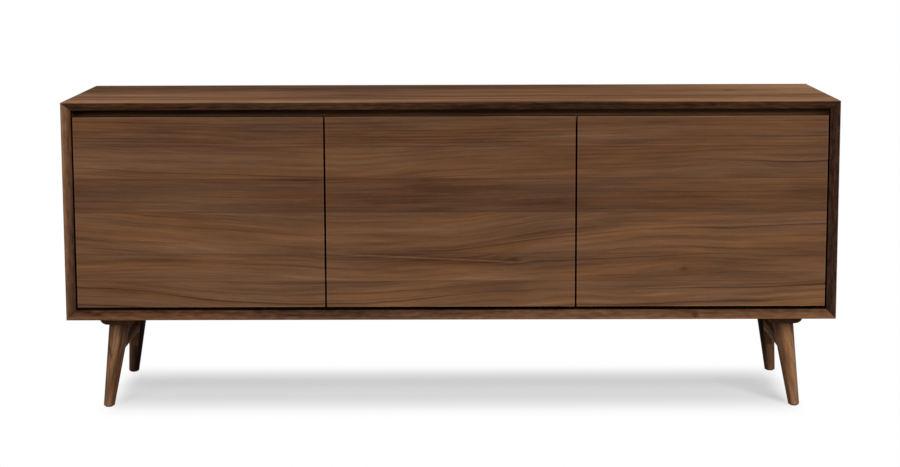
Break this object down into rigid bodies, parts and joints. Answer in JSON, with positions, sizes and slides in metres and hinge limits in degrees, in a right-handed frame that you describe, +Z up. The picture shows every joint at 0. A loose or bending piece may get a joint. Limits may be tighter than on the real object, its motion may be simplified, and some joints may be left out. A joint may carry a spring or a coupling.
{
  "type": "sideboard buffet",
  "caption": "Low walnut sideboard with a mitred, bevelled case, side-hung flush doors under a finger gap, shelves inside and splayed tapered legs.",
  "frame": {"origin": "on the floor, under the middle of the case", "axes": "+Z up, +X along the width to the viewer's right, the doors face -Y"},
  "size_m": [1.85, 0.46, 0.75],
  "materials": {
    "walnut_case": "satin oiled walnut, solid lipped edges",
    "walnut_doors": "satin walnut veneer, grain level",
    "walnut_legs": "satin solid walnut",
    "walnut_inside": "matt walnut veneer",
    "back_veneer": "matt walnut veneer on thin board",
    "beech": "bare beech",
    "hinge_steel": "nickel-plated pressed steel",
    "pin_steel": "plain steel",
    "screw_steel": "zinc-plated steel",
    "magnet": "dark plated magnet",
    "bumper": "soft clear-grey bumper",
    "glide": "dark nylon glide"
  },
  "bodies": {
    "case": {"top_panel": "walnut_case", "bottom_panel": "walnut_case", "left_side_panel": "walnut_case", "right_side_panel": "walnut_case", "back_panel": "back_veneer", "left_partition": "walnut_inside", "right_partition": "walnut_inside", "finger_rail": "walnut_case", "mitre_splines": "beech", "partition_dowels": "beech", "back_panel_screws": "screw_steel", "shelf_pins": "pin_steel", "left_shelf": "walnut_inside", "middle_shelf": "walnut_inside", "right_shelf": "walnut_inside", "hinge_plate_screws": "screw_steel", "hinge_arm_screws": "screw_steel", "door_magnets": "magnet", "door_bumpers": "bumper", "stretcher_dowels": "beech", "foot_glides": "glide", "leg_rail_screws": "screw_steel", "left_hinge_arms": "hinge_steel", "left_hinge_plates": "hinge_steel", "middle_hinge_arms": "hinge_steel", "middle_hinge_plates": "hinge_steel", "right_hinge_arms": "hinge_steel", "right_hinge_plates": "hinge_steel", "left_leg_rail": "walnut_legs", "left_front_leg": "walnut_legs", "left_back_leg": "walnut_legs", "left_leg_stretcher": "walnut_legs", "right_leg_rail": "walnut_legs", "right_front_leg": "walnut_legs", "right_back_leg": "walnut_legs", "right_leg_stretcher": "walnut_legs"},
    "left_door_body": {"left_door": "walnut_doors", "left_hinge_cups": "hinge_steel", "left_hinge_pins": "pin_steel", "left_hinge_cup_screws": "screw_steel", "left_magnet_strike": "screw_steel"},
    "middle_door_body": {"middle_door": "walnut_doors", "middle_hinge_cups": "hinge_steel", "middle_hinge_pins": "pin_steel", "middle_hinge_cup_screws": "screw_steel", "middle_magnet_strike": "screw_steel"},
    "right_door_body": {"right_door": "walnut_doors", "right_hinge_cups": "hinge_steel", "right_hinge_pins": "pin_steel", "right_hinge_cup_screws": "screw_steel", "right_magnet_strike": "screw_steel"}
  },
  "joints": [
    {"name": "left_door_hinge", "type": "hinge", "parent": "case", "child": "left_door_body", "pos_m": [-0.8935, -0.2025, 0.482], "axis": [0, 0, -1], "range_deg": [0, 95]},
    {"name": "middle_door_hinge", "type": "hinge", "parent": "case", "child": "middle_door_body", "pos_m": [-0.29133, -0.2025, 0.482], "axis": [0, 0, -1], "range_deg": [0, 95]},
    {"name": "right_door_hinge", "type": "hinge", "parent": "case", "child": "right_door_body", "pos_m": [0.8935, -0.2025, 0.482], "axis": [0, 0, 1], "range_deg": [0, 95]}
  ]
}
